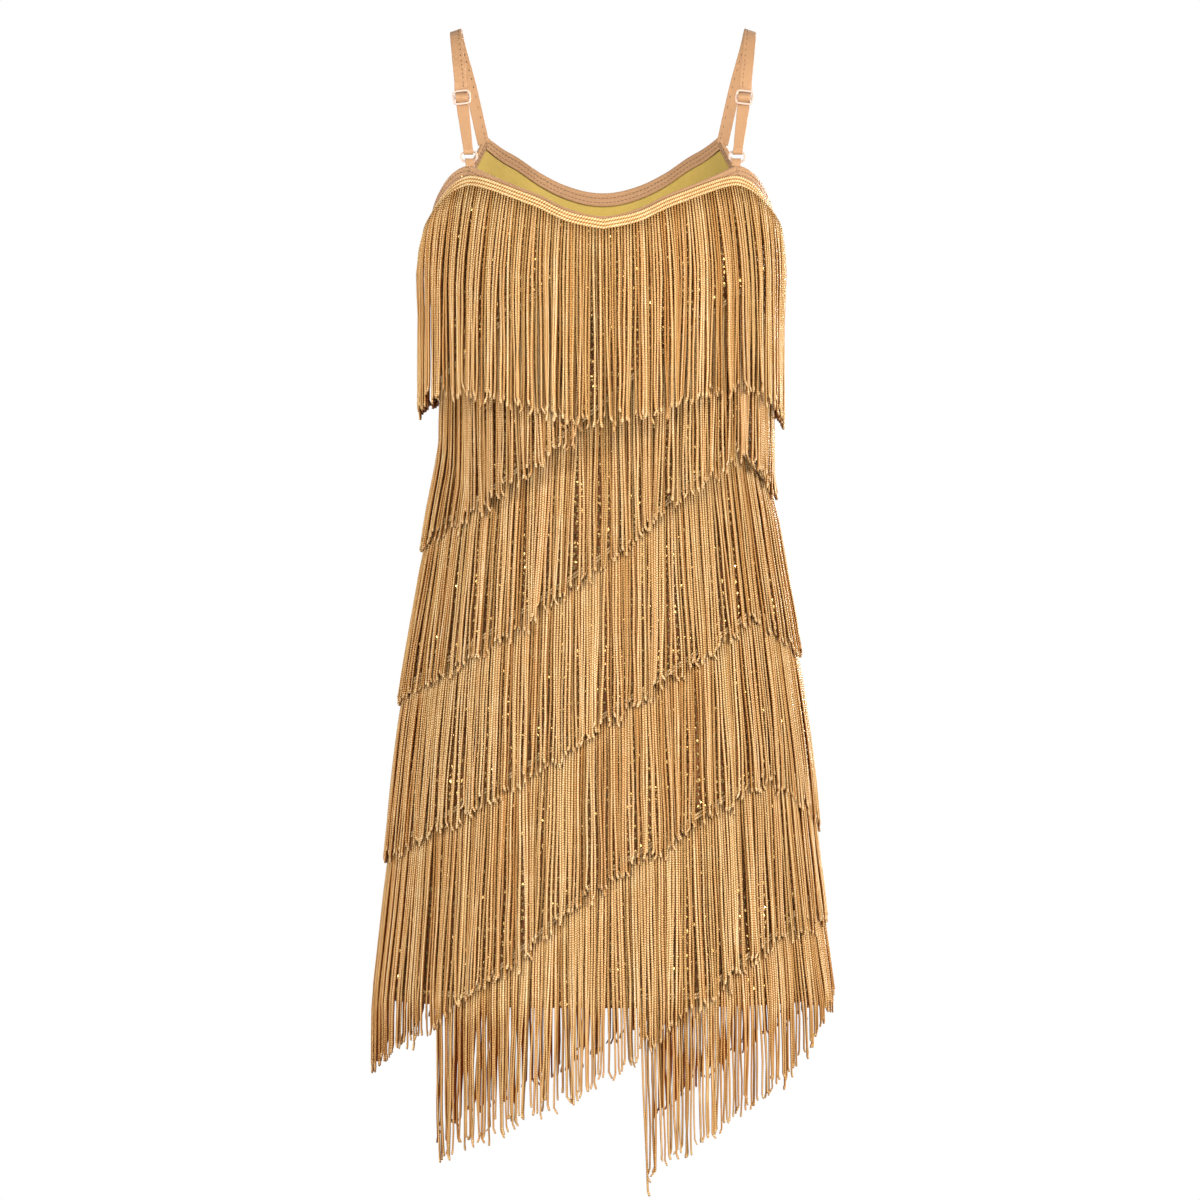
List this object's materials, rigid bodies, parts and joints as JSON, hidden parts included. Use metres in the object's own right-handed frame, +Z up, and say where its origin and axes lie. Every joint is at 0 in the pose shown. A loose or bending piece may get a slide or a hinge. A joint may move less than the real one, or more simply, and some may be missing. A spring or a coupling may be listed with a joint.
{
  "type": "latin dance dress",
  "caption": "Sleeveless short dance dress with slanting tiers of long fringe and thin adjustable shoulder straps, filled out as worn and open at neck, arms and hem",
  "frame": {"origin": "midway between the two shoulder straps, level with their undersides where they lie on the shoulders", "axes": "+Z up, the front faces -Y, +X to the viewer's right when seen from the front"},
  "size_m": [0.3826, 0.281, 0.9263],
  "materials": {
    "sequin_cloth": "gold stretch cloth sewn with small shiny sequins",
    "lining": "smooth mustard lining",
    "binding": "matt tan elastic with stitching",
    "fringe": "silky gold chainette",
    "strap_hardware": "glossy coated"
  },
  "bodies": {
    "root": {"front_panel": "sequin_cloth", "back_panel": "sequin_cloth", "back_lining": "lining", "neck_binding_front": "binding", "neck_binding_back": "binding", "armhole_binding_left": "binding", "armhole_binding_right": "binding", "strap_left": "binding", "strap_right": "binding", "front_tab_left": "binding", "front_tab_right": "binding", "ring_left": "strap_hardware", "ring_right": "strap_hardware", "slider_left": "strap_hardware", "slider_right": "strap_hardware", "fringe_neck": "fringe", "fringe_a": "fringe", "fringe_b": "fringe", "fringe_c": "fringe", "fringe_d": "fringe", "fringe_e": "fringe", "fringe_f": "fringe"}
  },
  "joints": []
}
